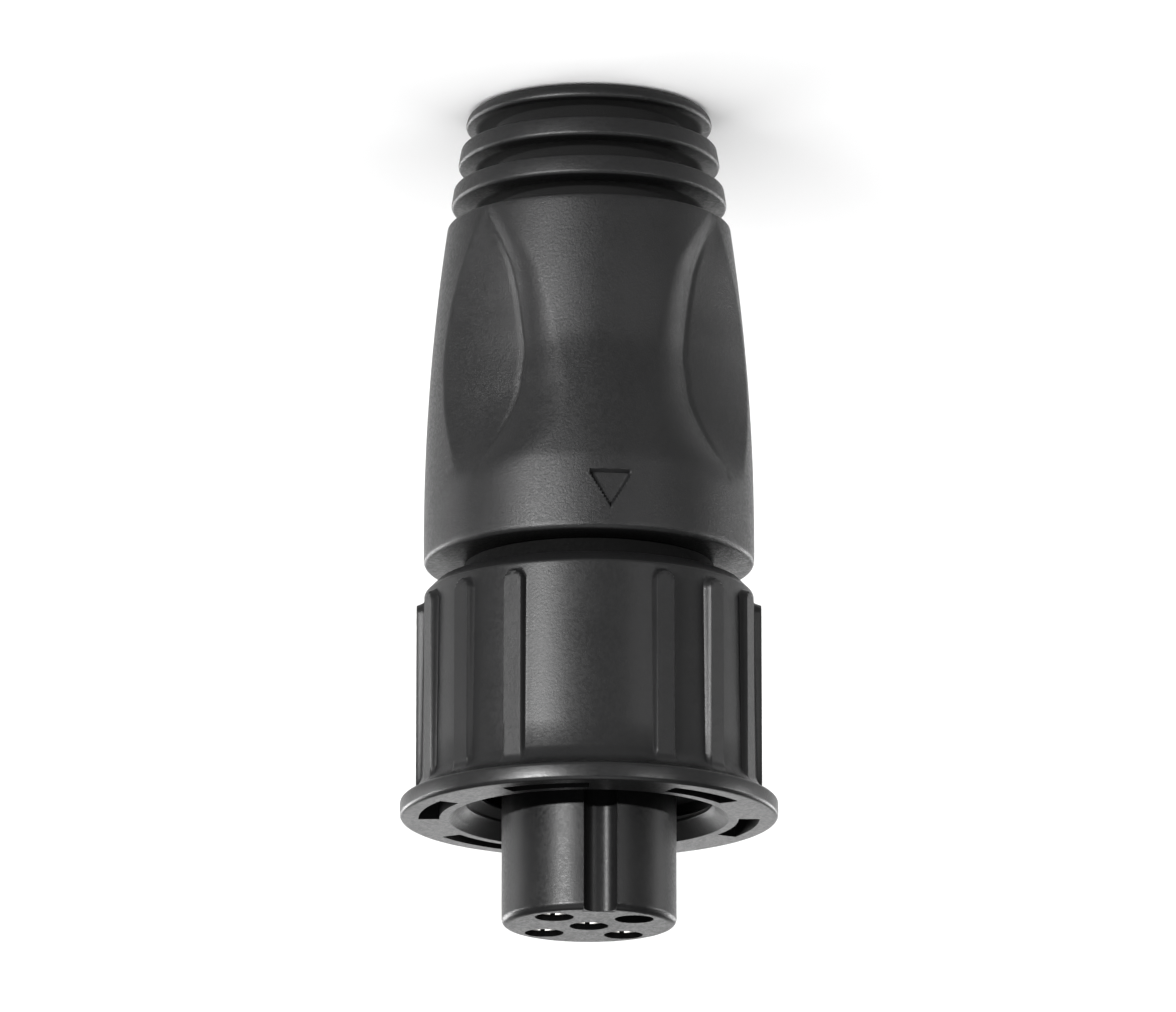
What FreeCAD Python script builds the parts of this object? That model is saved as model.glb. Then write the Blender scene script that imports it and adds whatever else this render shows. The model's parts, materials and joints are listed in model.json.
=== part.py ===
"""Network terminator plug: a moulded five-way round bus plug with a resistor inside.

Millimetres. +Z runs along the plug from the closed rear end (z = 0) to the mating face.
The keyway and the triangle mark on the grip lie in the -Y half of the YZ plane.
"""
import FreeCAD, Part
import math
import os
import Sketcher

os.makedirs("parts", exist_ok=True)
doc = FreeCAD.newDocument("terminator_plug")

# Driving dimensions
SIZES = [
    ("grip_length", 23.0, "closed rear end to front rim of the grip"),
    ("grip_rear_radius", 5.95, "grip radius at the rear end"),
    ("grip_front_radius", 8.08, "grip radius at the front rim"),
    ("grip_curve_radius", 110.0, "bulge of the grip's side line"),
    ("grip_rear_round", 0.5, "round on the rear edge"),
    ("grip_front_round", 0.25, "round on the front rim"),
    ("groove_first", 0.8, "rear end to the first groove"),
    ("groove_width", 1.02, "width of each groove"),
    ("groove_pitch", 2.05, "groove to groove"),
    ("groove_floor_radius", 4.6, "radius at the bottom of the grooves"),
    ("groove_count", 3, "grooves at the rear end"),
    ("scoop_angle", 53.0, "scoop centre, each side of the front and back middle lines"),
    ("scoop_start", 6.2, "rear end to the scoops"),
    ("scoop_setback", 5.2, "front rim to the scoops"),
    ("scoop_depth", 0.8, "deepest point below the grip's surface"),
    ("dish_start", 6.4, "rear end to the shallow dish between scoops"),
    ("dish_setback", 4.2, "front rim to the dish"),
    ("dish_depth", 0.5, "deepest point of the dish"),
    ("dish_angle", 68.0, "width of the dish round the grip"),
    ("mark_width", 2.1, "base of the triangle mark"),
    ("mark_height", 1.75, "height of the triangle mark"),
    ("mark_setback", 1.1, "front rim to the tip of the triangle mark"),
    ("mark_depth", 0.16, "sinking of the triangle mark"),
    ("core_cover", 0.475, "inner mould behind the hairpin lead"),
    ("core_rear_radius", 3.7, "inner mould behind its collar"),
    ("core_ring_radius", 4.3, "locking rings on the inner mould"),
    ("core_ring_start", 2.8, "rear of the inner mould to its first locking ring"),
    ("core_ring_width", 1.1, "width of a locking ring"),
    ("core_ring_end", 2.1, "last locking ring to the collar"),
    ("core_ring_count", 4, "locking rings"),
    ("collar_length", 4.6, "wide collar of the inner mould, inside the grip"),
    ("collar_radius", 6.1, "radius of that collar"),
    ("collar_step", 0.7, "collar standing out of the grip's front rim"),
    ("neck_radius", 4.9, "carrier neck, the axle of the coupling nut"),
    ("neck_sunk", 3.4, "neck buried in the inner mould"),
    ("neck_lock_depth", 0.4, "locking groove round the buried neck"),
    ("neck_lock_width", 1.0, "width of that groove"),
    ("nut_gap", 1.0, "grip's front rim to the nut"),
    ("nut_length", 11.6, "length of the coupling nut"),
    ("nut_rear_radius", 8.05, "nut wall radius at the rear"),
    ("nut_front_radius", 8.16, "nut wall radius at the flange"),
    ("nut_rear_chamfer", 0.55, "chamfer on the nut's rear edge"),
    ("nut_web", 1.7, "rear web that the carrier's flange holds back"),
    ("nut_running_gap", 0.05, "radial clearance of the web on the neck"),
    ("nut_end_float", 0.3, "axial clearance of the web at each side"),
    ("flange_overhang", 1.04, "flange standing out from the nut's wall"),
    ("flange_rim", 0.85, "thickness of the flange at its rim"),
    ("flange_flare", 1.1, "length of the flare behind the rim"),
    ("flare_hollow", 0.227, "hollow of the flare, below its straight line"),
    ("flange_round", 0.2, "round on the rim's edges"),
    ("thread_radius", 6.0, "M12x1 internal thread, major radius"),
    ("mouth_step", 0.8, "lead-in at the nut's mouth, wider than the thread"),
    ("mouth_depth", 0.75, "depth of the lead-in"),
    ("rib_width", 1.15, "width of a grip rib on the nut"),
    ("rib_height", 0.26, "ribs standing out from the nut's wall at the flange"),
    ("rib_setback", 0.85, "nut's rear edge to the ribs"),
    ("rib_root", 0.6, "rib standing in the nut's wall"),
    ("rib_pitch", 21.3, "degrees between ribs"),
    ("rib_count", 7, "ribs in each of the two groups"),
    ("pocket_inner_wall", 0.5, "wall between the mouth and the flange pockets"),
    ("pocket_outer_wall", 0.95, "wall between the flange pockets and the rim"),
    ("pocket_depth", 1.5, "depth of the flange pockets"),
    ("pocket_angle", 30.0, "width of a pocket round the flange"),
    ("pocket_count", 6, "flange pockets"),
    ("pocket_turn", 15.0, "first pocket, turned from the middle of a smooth panel"),
    ("nut_turn", 7.5, "nut turned from the keyway, as it was left"),
    ("stop_radius", 5.6, "carrier flange that holds the nut"),
    ("stop_thickness", 1.2, "thickness of that flange"),
    ("insert_radius", 4.25, "mating insert"),
    ("insert_reach", 5.3, "insert standing out of the nut"),
    ("insert_round", 0.35, "round on the insert's edge"),
    ("keyway_width", 1.6, "keyway across"),
    ("keyway_depth", 0.75, "keyway depth"),
    ("keyway_start", 1.9, "carrier flange to the start of the keyway"),
    ("seal_section", 1.0, "thickness of the sealing ring"),
    ("seal_seat", 0.15, "depth of the ring's seat in the insert's foot"),
    ("seal_room", 0.2, "seat longer than the ring"),
    ("pitch_circle_radius", 2.75, "outer contacts' circle"),
    ("cavity_radius", 0.95, "contact chamber in the insert"),
    ("cavity_depth", 7.6, "depth of the contact chamber"),
    ("contact_radius", 0.76, "outside of a socket contact"),
    ("contact_setback", 0.25, "contact end below the insert face"),
    ("pin_radius", 0.5, "mating pin"),
    ("pin_clearance", 0.02, "contact bore over the mating pin"),
    ("pin_depth", 6.2, "depth of the contact bore"),
    ("contact_lead", 0.12, "lead-in chamfer of the contact bore"),
    ("slot_width", 0.24, "slot that splits the contact into two tines"),
    ("slot_depth", 4.8, "length of that slot"),
    ("shoulder_radius", 1.05, "contact shoulder behind the carrier"),
    ("shoulder_width", 0.6, "thickness of the shoulder"),
    ("cup_length", 3.2, "solder cup behind the shoulder"),
    ("cup_depth", 2.5, "depth of the solder cup"),
    ("cup_wall", 0.22, "wall of the solder cup"),
    ("cup_window", 1.6, "cut-away side of the solder cup"),
    ("resistor_radius", 1.15, "end bells of the resistor"),
    ("resistor_waist", 0.95, "resistor between its bells"),
    ("resistor_length", 6.0, "resistor body"),
    ("resistor_offset", 3.2, "contact cups to the resistor body"),
    ("bell_length", 1.3, "each end bell"),
    ("bell_slope", 0.4, "slope from a bell down to the waist"),
    ("bell_round", 0.43, "round on the end bells"),
    ("lacquer_end", 0.15, "lacquer over the end caps"),
    ("ceramic_radius", 0.65, "ceramic rod under the lacquer"),
    ("cap_wall", 0.18, "pressed end caps on the rod"),
    ("cap_length", 1.0, "length of an end cap"),
    ("lead_radius", 0.25, "resistor lead"),
    ("lead_bend_start", 0.6, "resistor body to the hairpin bend"),
    ("sleeve_wall", 0.2, "insulating sleeve on the long lead"),
    ("sleeve_clearance", 0.03, "sleeve over the lead"),
    ("sleeve_end_gap", 0.8, "sleeve end short of the solder cup"),
    ("cut_overrun", 1.0, "cutting shapes run past the surface"),
]

dims = doc.addObject("Spreadsheet::Sheet", "dims")
for row, (alias, size, meaning) in enumerate(SIZES, start=1):
    dims.set(f"A{row}", alias)
    dims.set(f"B{row}", str(size))
    dims.set(f"C{row}", meaning)
    dims.setAlias(f"B{row}", alias)
doc.recompute()

# Heights along the plug, each worked out from the piece before it
GRIP_FRONT = "dims.grip_length"
MARK_TIP = "(dims.grip_length - dims.mark_setback)"
COLLAR_REAR = "(dims.grip_length - dims.collar_length)"
COLLAR_FRONT = "(dims.grip_length + dims.collar_step)"
NUT_REAR = "(dims.grip_length + dims.nut_gap)"
NUT_FRONT = f"({NUT_REAR} + dims.nut_length)"
WEB_FRONT = f"({NUT_REAR} + dims.nut_web)"
STOP_REAR = f"({WEB_FRONT} + dims.nut_end_float)"
STOP_FRONT = f"({STOP_REAR} + dims.stop_thickness)"
INSERT_FACE = f"({NUT_FRONT} + dims.insert_reach)"
CARRIER_REAR = f"({COLLAR_FRONT} - dims.neck_sunk)"
CHAMBER_FLOOR = f"({INSERT_FACE} - dims.cavity_depth)"
CONTACT_FRONT = f"({INSERT_FACE} - dims.contact_setback)"
SHOULDER_REAR = f"({CARRIER_REAR} - dims.shoulder_width)"
CUP_REAR = f"({SHOULDER_REAR} - dims.cup_length)"
CUP_FLOOR = f"({CUP_REAR} + dims.cup_depth)"
CUP_RADIUS = "(dims.contact_radius - dims.cup_wall)"
RESISTOR_FRONT = f"({CUP_REAR} - dims.resistor_offset)"
RESISTOR_REAR = f"({RESISTOR_FRONT} - dims.resistor_length)"
BEND_HEIGHT = f"({RESISTOR_REAR} - dims.lead_bend_start)"
BEND_RADIUS = "(dims.pitch_circle_radius / 2)"
CORE_REAR = f"({BEND_HEIGHT} - {BEND_RADIUS} - dims.lead_radius - dims.core_cover)"
RING_SPAN = "(dims.core_ring_start + dims.core_ring_width + dims.core_ring_end)"
RING_PITCH = f"(({COLLAR_REAR} - {CORE_REAR} - {RING_SPAN}) / (dims.core_ring_count - 1))"
FLANGE_RADIUS = "(dims.nut_front_radius + dims.flange_overhang)"
MOUTH_RADIUS = "(dims.thread_radius + dims.mouth_step)"
CAP_RADIUS = "(dims.ceramic_radius + dims.cap_wall)"
SLEEVE_BORE = "(dims.lead_radius + dims.sleeve_clearance)"
SEAL_SEAT = "(dims.insert_radius - dims.seal_seat)"
SEAT_FRONT = f"({STOP_FRONT} + dims.seal_section + dims.seal_room)"
DIAGONAL = "(dims.pitch_circle_radius * sqrt(0.5))"

# Contacts seen from the mating face; the fifth chamber, beside the keyway, is left empty
CONTACTS = {
    "socket_contact_centre": ("0", "0"),
    "socket_contact_left": (DIAGONAL, f"(0 - {DIAGONAL})"),
    "socket_contact_far_left": (DIAGONAL, DIAGONAL),
    "socket_contact_far_right": (f"(0 - {DIAGONAL})", DIAGONAL),
}
LONG_LEAD_CONTACT = "socket_contact_far_right"

# The grip's side line is an arc: its centre, and what is worked out from it
SIDE_LEAN = "(dims.grip_front_radius - dims.grip_rear_radius)"
SIDE_CHORD = f"sqrt({SIDE_LEAN}^2 + dims.grip_length^2)"
SIDE_REACH = f"(sqrt(dims.grip_curve_radius^2 - ({SIDE_CHORD} / 2)^2) / {SIDE_CHORD})"
SIDE_RADIUS = (
    f"((dims.grip_rear_radius + dims.grip_front_radius) / 2 - {SIDE_REACH} * dims.grip_length)"
)
SIDE_HEIGHT = f"(dims.grip_length / 2 + {SIDE_REACH} * {SIDE_LEAN})"

X_AXIS = FreeCAD.Vector(1, 0, 0)
Y_AXIS = FreeCAD.Vector(0, 1, 0)
Z_AXIS = FreeCAD.Vector(0, 0, 1)


def number(expression):
    """Value of an expression over the sheet."""
    return float(dims.evalExpression(expression))


def bind(item, **expressions):
    """Ties properties of an object to expressions over the sheet."""
    for key, expression in expressions.items():
        item.setExpression(key.replace("__", "."), expression)


def new_body(name):
    body = doc.addObject("PartDesign::Body", name)
    body.Label = name
    return body


def origin_feature(body, role):
    return next(item for item in body.Origin.OriginFeatures if item.Role == role)


def side_sketch(body, name, azimuth=None, distance=None):
    """Sketch on the body's XZ plane: x is the radius and y is the height.

    azimuth turns it about Z, and distance moves it out along its own normal.
    """
    sketch = body.newObject("Sketcher::SketchObject", name)
    sketch.AttachmentSupport = (origin_feature(body, "XZ_Plane"), [""])
    sketch.MapMode = "FlatFace"
    if azimuth is not None:
        turn = FreeCAD.Rotation(Y_AXIS, number(azimuth))
        sketch.AttachmentOffset = FreeCAD.Placement(FreeCAD.Vector(), turn)
        sketch.setExpression("AttachmentOffset.Rotation.Angle", azimuth)
    if distance is not None:
        turn = azimuth or "0"
        sketch.setExpression("AttachmentOffset.Base.x", f"({distance}) * sin(({turn}) * 1 deg)")
        sketch.setExpression("AttachmentOffset.Base.z", f"({distance}) * cos(({turn}) * 1 deg)")
    return sketch


def measure(sketch, kind, *places, size):
    """Dimension in a sketch, tied to an expression."""
    index = sketch.addConstraint(Sketcher.Constraint(kind, *places, number(size)))
    sketch.setExpression(f"Constraints[{index}]", size)


def pin_point(sketch, edge, end, radius, height):
    """Ties one end of an edge to a radius and a height."""
    for kind, axis, expression in (("DistanceX", -2, radius), ("DistanceY", -1, height)):
        if expression == "0":
            sketch.addConstraint(Sketcher.Constraint("PointOnObject", edge, end, axis))
        else:
            measure(sketch, kind, -1, 1, edge, end, size=expression)


def add_loop(sketch, points):
    """Closed loop of straight edges through points given as (x, y) numbers."""
    corners = [FreeCAD.Vector(x, y, 0) for x, y in points]
    count = len(corners)
    for index in range(count):
        sketch.addGeometry(Part.LineSegment(corners[index], corners[(index + 1) % count]), False)
    for index in range(count):
        after = (index + 1) % count
        sketch.addConstraint(Sketcher.Constraint("Coincident", index, 2, after, 1))


def add_outline(sketch, corners):
    """Closed outline, run anticlockwise, through corners given as (radius, height).

    A third item is the radius of an outward arc to the next corner, a fourth makes it hollow.
    """
    points = [FreeCAD.Vector(number(corner[0]), number(corner[1]), 0) for corner in corners]
    count = len(points)
    ends = []
    for index, corner in enumerate(corners):
        start, stop = points[index], points[(index + 1) % count]
        if len(corner) == 2:
            sketch.addGeometry(Part.LineSegment(start, stop), False)
            ends.append((1, 2))
            continue
        hollow = len(corner) == 4
        if hollow:
            start, stop = stop, start
        radius = number(corner[2])
        chord = stop - start
        left = FreeCAD.Vector(-chord.y, chord.x, 0).normalize()
        centre = (start + stop) * 0.5 + left * math.sqrt(radius ** 2 - (chord.Length / 2) ** 2)
        first = math.atan2(start.y - centre.y, start.x - centre.x)
        last = math.atan2(stop.y - centre.y, stop.x - centre.x)
        circle = Part.Circle(centre, Z_AXIS, radius)
        sketch.addGeometry(Part.ArcOfCircle(circle, first, last), False)
        ends.append((2, 1) if hollow else (1, 2))
    for index in range(count):
        after = (index + 1) % count
        joint = Sketcher.Constraint("Coincident", index, ends[index][1], after, ends[after][0])
        sketch.addConstraint(joint)
    for index, corner in enumerate(corners):
        pin_point(sketch, index, ends[index][0], corner[0], corner[1])
        if len(corner) > 2:
            measure(sketch, "Radius", index, size=corner[2])


def add_strip(sketch, width, low, high):
    """Rectangle centred on the sketch's upright axis, between two heights."""
    half = number(width) / 2
    bottom, top = number(low), number(high)
    add_loop(sketch, [(-half, bottom), (half, bottom), (half, top), (-half, top)])
    for edge, kind in ((1, "Vertical"), (2, "Horizontal"), (3, "Vertical")):
        sketch.addConstraint(Sketcher.Constraint(kind, edge))
    sketch.addConstraint(Sketcher.Constraint("Symmetric", 0, 1, 0, 2, -2))
    measure(sketch, "DistanceX", 0, 1, 0, 2, size=width)
    measure(sketch, "DistanceY", -1, 1, 0, 1, size=low)
    measure(sketch, "DistanceY", -1, 1, 2, 1, size=high)


def revolve(body, name, corners):
    """Solid of revolution about Z."""
    sketch = side_sketch(body, f"{name}_outline")
    add_outline(sketch, corners)
    feature = body.newObject("PartDesign::Revolution", name)
    feature.Profile = sketch
    feature.ReferenceAxis = (sketch, ["V_Axis"])
    feature.Angle = 360
    sketch.Visibility = False
    doc.recompute()
    return feature


def groove(body, name, sketch, angle=None):
    """Cut round Z, all the way or over an angle centred on the sketch."""
    feature = body.newObject("PartDesign::Groove", name)
    feature.Profile = sketch
    feature.ReferenceAxis = (sketch, ["V_Axis"])
    feature.Angle = 360
    if angle is not None:
        feature.Midplane = True
        feature.setExpression("Angle", angle)
    doc.recompute()
    return feature


def pocket(body, name, sketch, depth=None, reversed_cut=False, both_ways=False):
    """Straight cut from a sketch: a depth, or through all when none is given."""
    feature = body.newObject("PartDesign::Pocket", name)
    feature.Profile = sketch
    if depth is None:
        feature.Type = "ThroughAll"
    else:
        feature.setExpression("Length", depth)
    if both_ways:
        feature.Midplane = True
    feature.Reversed = reversed_cut
    doc.recompute()
    return feature


def polar(body, name, originals, count, angle=None):
    """Repeats features round Z."""
    pattern = body.newObject("PartDesign::PolarPattern", name)
    pattern.Originals = originals
    pattern.Axis = (origin_feature(body, "Z_Axis"), [""])
    pattern.Angle = 360
    if angle is not None:
        pattern.setExpression("Angle", angle)
    pattern.setExpression("Occurrences", count)
    body.Tip = pattern
    doc.recompute()
    return pattern


def round_rings(body, name, base, size, rings):
    """Rounds the full-circle edges that lie at the given (radius, height) pairs."""
    wanted = [(number(radius), number(height)) for radius, height in rings]
    edges = []
    for index, edge in enumerate(base.Shape.Edges, start=1):
        box = edge.BoundBox
        point = edge.valueAt(edge.FirstParameter)
        reach = math.hypot(point.x, point.y)
        for radius, height in wanted:
            level = abs(box.ZMin - height) < 1e-4 and abs(box.ZMax - height) < 1e-4
            if level and abs(reach - radius) < 1e-4:
                edges.append(f"Edge{index}")
    feature = body.newObject("PartDesign::Fillet", name)
    feature.Base = (base, edges)
    feature.setExpression("Radius", size)
    doc.recompute()
    return feature


def rod(name, radius, length, base="0", offset=("0", "0")):
    """Upright cylinder that starts at a height."""
    item = doc.addObject("Part::Cylinder", name)
    bind(item, Radius=radius, Height=length, Placement__Base__z=base)
    bind(item, Placement__Base__x=offset[0], Placement__Base__y=offset[1])
    return item


def fuse(name, pieces):
    item = doc.addObject("Part::MultiFuse", name)
    item.Shapes = pieces
    return item


def cut(name, base, tool):
    item = doc.addObject("Part::Cut", name)
    item.Base = base
    item.Tool = tool
    return item


def grip_radius(height):
    """Radius of the grip's side line at a height."""
    return f"({SIDE_RADIUS} + sqrt(dims.grip_curve_radius^2 - ({height} - {SIDE_HEIGHT})^2))"


def hollow(start, stop, depth):
    """Arc that dips below the grip's side line between two heights.

    Gives its radius, and the radius and height of its centre, as expressions.
    """
    middle = f"(({start} + {stop}) / 2)"
    half = f"(({stop} - {start}) / 2)"
    radius = f"(1 / (2 * {depth} / {half}^2 - 1 / dims.grip_curve_radius))"
    scale = f"((dims.grip_curve_radius + {radius} - {depth}) / dims.grip_curve_radius)"
    out = f"({SIDE_RADIUS} + ({grip_radius(middle)} - {SIDE_RADIUS}) * {scale})"
    up = f"({SIDE_HEIGHT} + ({middle} - {SIDE_HEIGHT}) * {scale})"
    return radius, out, up


def core_outline():
    """Outline of the inner mould, from the rear axis point round to the front axis point."""
    corners = [("0", CORE_REAR), ("dims.core_rear_radius", CORE_REAR)]
    for index in range(int(number("dims.core_ring_count"))):
        low = f"({CORE_REAR} + dims.core_ring_start + {index} * {RING_PITCH})"
        high = f"({low} + dims.core_ring_width)"
        corners += [("dims.core_rear_radius", low), ("dims.core_ring_radius", low)]
        corners += [("dims.core_ring_radius", high), ("dims.core_rear_radius", high)]
    corners += [("dims.core_rear_radius", COLLAR_REAR), ("dims.collar_radius", COLLAR_REAR)]
    return corners


def make_grip():
    """Soft outer moulding with grooves, four thumb scoops, two dishes and a triangle mark."""
    body = new_body("grip_blank")
    rear, front = "dims.grip_rear_radius", "dims.grip_front_radius"
    corners = [("0", "0"), (rear, "0", "dims.grip_curve_radius"), (front, GRIP_FRONT)]
    corners += [("dims.collar_radius", GRIP_FRONT)] + core_outline()[::-1]
    feature = revolve(body, "grip_form", corners)
    feature = round_rings(body, "grip_rear_rounding", feature, "dims.grip_rear_round", [(rear, "0")])
    feature = round_rings(
        body, "grip_front_rounding", feature, "dims.grip_front_round", [(front, GRIP_FRONT)]
    )
    for index in range(int(number("dims.groove_count"))):
        low = f"(dims.groove_first + {index} * dims.groove_pitch)"
        high = f"({low} + dims.groove_width)"
        outside = "(dims.grip_front_radius + dims.cut_overrun)"
        sketch = side_sketch(body, f"groove_{index + 1}_outline")
        floor = "dims.groove_floor_radius"
        add_outline(sketch, [(floor, low), (outside, low), (outside, high), (floor, high)])
        groove(body, f"groove_{index + 1}", sketch)

    radius, out, up = hollow("dims.dish_start", f"({GRIP_FRONT} - dims.dish_setback)", "dims.dish_depth")
    sketch = side_sketch(body, "dish_outline", azimuth="270")
    middle = FreeCAD.Vector(number(out), number(up), 0)
    sketch.addGeometry(Part.Circle(middle, Z_AXIS, number(radius)), False)
    measure(sketch, "Radius", 0, size=radius)
    pin_point(sketch, 0, 3, out, up)
    dish = groove(body, "dish", sketch, angle="dims.dish_angle")
    polar(body, "dishes", [dish], "2")

    mark_base = f"({MARK_TIP} - dims.mark_height)"
    mark_floor = f"({grip_radius(f'({MARK_TIP} - dims.mark_height / 2)')} - dims.mark_depth)"
    sketch = side_sketch(body, "mark_outline", distance=mark_floor)
    half, tip, base = number("dims.mark_width") / 2, number(MARK_TIP), number(mark_base)
    add_loop(sketch, [(-half, base), (half, base), (0, tip)])
    sketch.addConstraint(Sketcher.Constraint("PointOnObject", 2, 1, -2))
    sketch.addConstraint(Sketcher.Constraint("Symmetric", 0, 1, 0, 2, -2))
    measure(sketch, "DistanceX", 0, 1, 0, 2, size="dims.mark_width")
    measure(sketch, "DistanceY", -1, 1, 2, 1, size=MARK_TIP)
    measure(sketch, "DistanceY", 0, 1, 2, 1, size="dims.mark_height")
    before = body.Shape.Volume
    pocket(body, "mark", sketch, depth="(dims.mark_depth + dims.cut_overrun)", reversed_cut=True)
    check_cut(body, before)

    radius, out, up = hollow(
        "dims.scoop_start", f"({GRIP_FRONT} - dims.scoop_setback)", "dims.scoop_depth"
    )
    scoops = []
    for middle in (270, 90):
        for side in (-1, 1):
            azimuth = f"(({middle} + {side} * dims.scoop_angle) * 1 deg)"
            ball = doc.addObject("Part::Sphere", f"scoop_ball_{len(scoops) + 1}")
            bind(ball, Radius=radius, Placement__Base__z=up)
            bind(
                ball,
                Placement__Base__x=f"{out} * cos({azimuth})",
                Placement__Base__y=f"{out} * sin({azimuth})",
            )
            scoops.append(ball)
    return cut("grip_overmould", body, fuse("scoop_balls", scoops))


def check_cut(body, before):
    """Stops when a cut has taken nothing away."""
    if not body.Shape.Volume < before - 1e-6:
        raise ValueError(f"a cut in {body.Label} removes nothing")


def make_contact(name, place):
    """Turned socket contact: slotted spring end, shoulder and solder cup."""
    body = new_body(name)
    wall, bore = "dims.contact_radius", "(dims.pin_radius + dims.pin_clearance)"
    mouth = f"({bore} + dims.contact_lead)"
    lead = f"({CONTACT_FRONT} - dims.contact_lead)"
    floor = f"({CONTACT_FRONT} - dims.pin_depth)"
    corners = [
        (CUP_RADIUS, CUP_REAR),
        (wall, CUP_REAR),
        (wall, SHOULDER_REAR),
        ("dims.shoulder_radius", SHOULDER_REAR),
        ("dims.shoulder_radius", CARRIER_REAR),
        (wall, CARRIER_REAR),
        (wall, CONTACT_FRONT),
        (mouth, CONTACT_FRONT),
        (bore, lead),
        (bore, floor),
        ("0", floor),
        ("0", CUP_FLOOR),
        (CUP_RADIUS, CUP_FLOOR),
    ]
    revolve(body, f"{name}_form", corners)
    over = f"({CONTACT_FRONT} + dims.cut_overrun)"
    sketch = side_sketch(body, f"{name}_slot_outline")
    add_strip(sketch, "dims.slot_width", f"({CONTACT_FRONT} - dims.slot_depth)", over)
    before = body.Shape.Volume
    pocket(body, f"{name}_slot", sketch, both_ways=True)
    check_cut(body, before)
    sketch = side_sketch(body, f"{name}_window_outline", distance=f"({CUP_RADIUS} / 2)")
    across = "(dims.contact_radius * 2 + dims.cut_overrun)"
    below = f"({CUP_REAR} - dims.cut_overrun)"
    add_strip(sketch, across, below, f"({CUP_REAR} + dims.cup_window)")
    before = body.Shape.Volume
    pocket(body, f"{name}_window", sketch, depth=across, reversed_cut=True)
    check_cut(body, before)
    bind(body, Placement__Base__x=place[0], Placement__Base__y=place[1])
    return body


def make_carrier():
    """Insert, flange and neck in one moulding, with five chambers and a keyway."""
    body = new_body("contact_carrier")
    neck, lock = "dims.neck_radius", "(dims.neck_radius - dims.neck_lock_depth)"
    lock_rear = f"({CARRIER_REAR} + dims.neck_lock_width)"
    lock_front = f"({lock_rear} + dims.neck_lock_width)"
    corners = [
        ("0", CARRIER_REAR),
        (neck, CARRIER_REAR),
        (neck, lock_rear),
        (lock, lock_rear),
        (lock, lock_front),
        (neck, lock_front),
        (neck, STOP_REAR),
        ("dims.stop_radius", STOP_REAR),
        ("dims.stop_radius", STOP_FRONT),
        (SEAL_SEAT, STOP_FRONT),
        (SEAL_SEAT, SEAT_FRONT),
        ("dims.insert_radius", SEAT_FRONT),
        ("dims.insert_radius", INSERT_FACE),
        ("0", INSERT_FACE),
    ]
    feature = revolve(body, "carrier_form", corners)
    round_rings(
        body, "insert_rounding", feature, "dims.insert_round", [("dims.insert_radius", INSERT_FACE)]
    )
    keyway_floor = "(dims.insert_radius - dims.keyway_depth)"
    sketch = side_sketch(body, "keyway_outline", distance=keyway_floor)
    over = f"({INSERT_FACE} + dims.cut_overrun)"
    add_strip(sketch, "dims.keyway_width", f"({STOP_FRONT} + dims.keyway_start)", over)
    before = body.Shape.Volume
    pocket(body, "keyway", sketch, depth="(dims.keyway_depth + dims.cut_overrun)", reversed_cut=True)
    check_cut(body, before)

    chambers, passages = [], []
    for place_name, place in (("centre", ("0", "0")), ("outer", (DIAGONAL, DIAGONAL))):
        for kind, radius, start, store in (
            ("chamber", "dims.cavity_radius", CHAMBER_FLOOR, chambers),
            ("passage", "dims.contact_radius", CARRIER_REAR, passages),
        ):
            name = f"{place_name}_{kind}"
            sketch = body.newObject("Sketcher::SketchObject", f"{name}_outline")
            sketch.AttachmentSupport = (origin_feature(body, "XY_Plane"), [""])
            sketch.MapMode = "FlatFace"
            sketch.setExpression("AttachmentOffset.Base.z", start)
            middle = FreeCAD.Vector(number(place[0]), number(place[1]), 0)
            sketch.addGeometry(Part.Circle(middle, Z_AXIS, number(radius)), False)
            measure(sketch, "Radius", 0, size=radius)
            pin_point(sketch, 0, 3, place[0], place[1])
            before = body.Shape.Volume
            store.append(pocket(body, name, sketch, reversed_cut=True))
            check_cut(body, before)
    polar(body, "chambers", [chambers[1], passages[1]], "4")
    return body


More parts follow.
